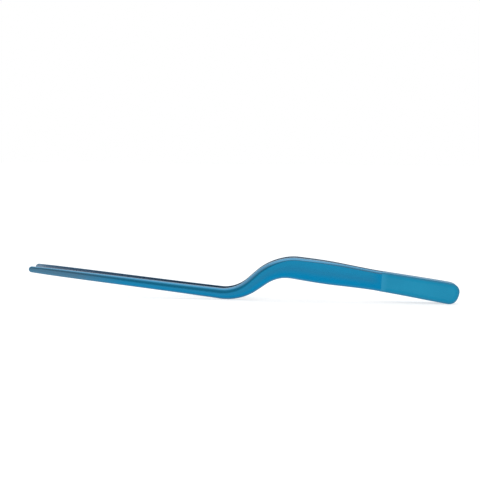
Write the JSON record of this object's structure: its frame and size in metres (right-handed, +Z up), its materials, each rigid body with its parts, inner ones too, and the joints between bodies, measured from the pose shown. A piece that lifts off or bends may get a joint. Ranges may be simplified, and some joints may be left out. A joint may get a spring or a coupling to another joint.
{
  "type": "bayonet forceps",
  "caption": "Anodised bayonet thumb forceps: sprung arms joined at the rear around a spacer, stepped handle, slim straight shafts and blunt smooth tips.",
  "frame": {"origin": "under the middle of the length, in the centre plane between the arms, on the surface that the bends' and the joint's lower edges stand on", "axes": "+X from the tips to the joined rear end, +Y from the left arm to the right arm, +Z up"},
  "size_m": [0.2, 0.0112, 0.02],
  "materials": {
    "satin_blue_left": "blue anodised titanium, satin",
    "satin_blue_right": "blue anodised titanium, satin",
    "blasted_blue_left": "blue anodised titanium, bead blasted",
    "blasted_blue_right": "blue anodised titanium, bead blasted",
    "blasted_blue_spacer": "blue anodised titanium, bead blasted",
    "pin_steel": "bare steel dowel",
    "guide_pin_steel": "bare steel pin, ground end"
  },
  "bodies": {
    "joint": {"joint_spacer": "blasted_blue_spacer", "left_arm_tang": "blasted_blue_left", "right_arm_tang": "blasted_blue_right", "front_joint_pin": "pin_steel", "rear_joint_pin": "pin_steel"},
    "left_arm": {"left_arm": "satin_blue_left"},
    "right_arm": {"right_arm": "satin_blue_right", "guide_pin": "guide_pin_steel"}
  },
  "joints": [
    {"name": "left_arm_flex", "type": "hinge", "parent": "joint", "child": "left_arm", "pos_m": [0.05462, -0.00205, 0.01112], "axis": [-0.1409, 0, -0.99], "range_deg": [0, 1.61], "stiffness_Nm_per_rad": 3},
    {"name": "right_arm_flex", "type": "hinge", "parent": "joint", "child": "right_arm", "pos_m": [0.05462, 0.00205, 0.01112], "axis": [0.1409, 0, 0.99], "range_deg": [0, 1.61], "stiffness_Nm_per_rad": 3}
  ]
}
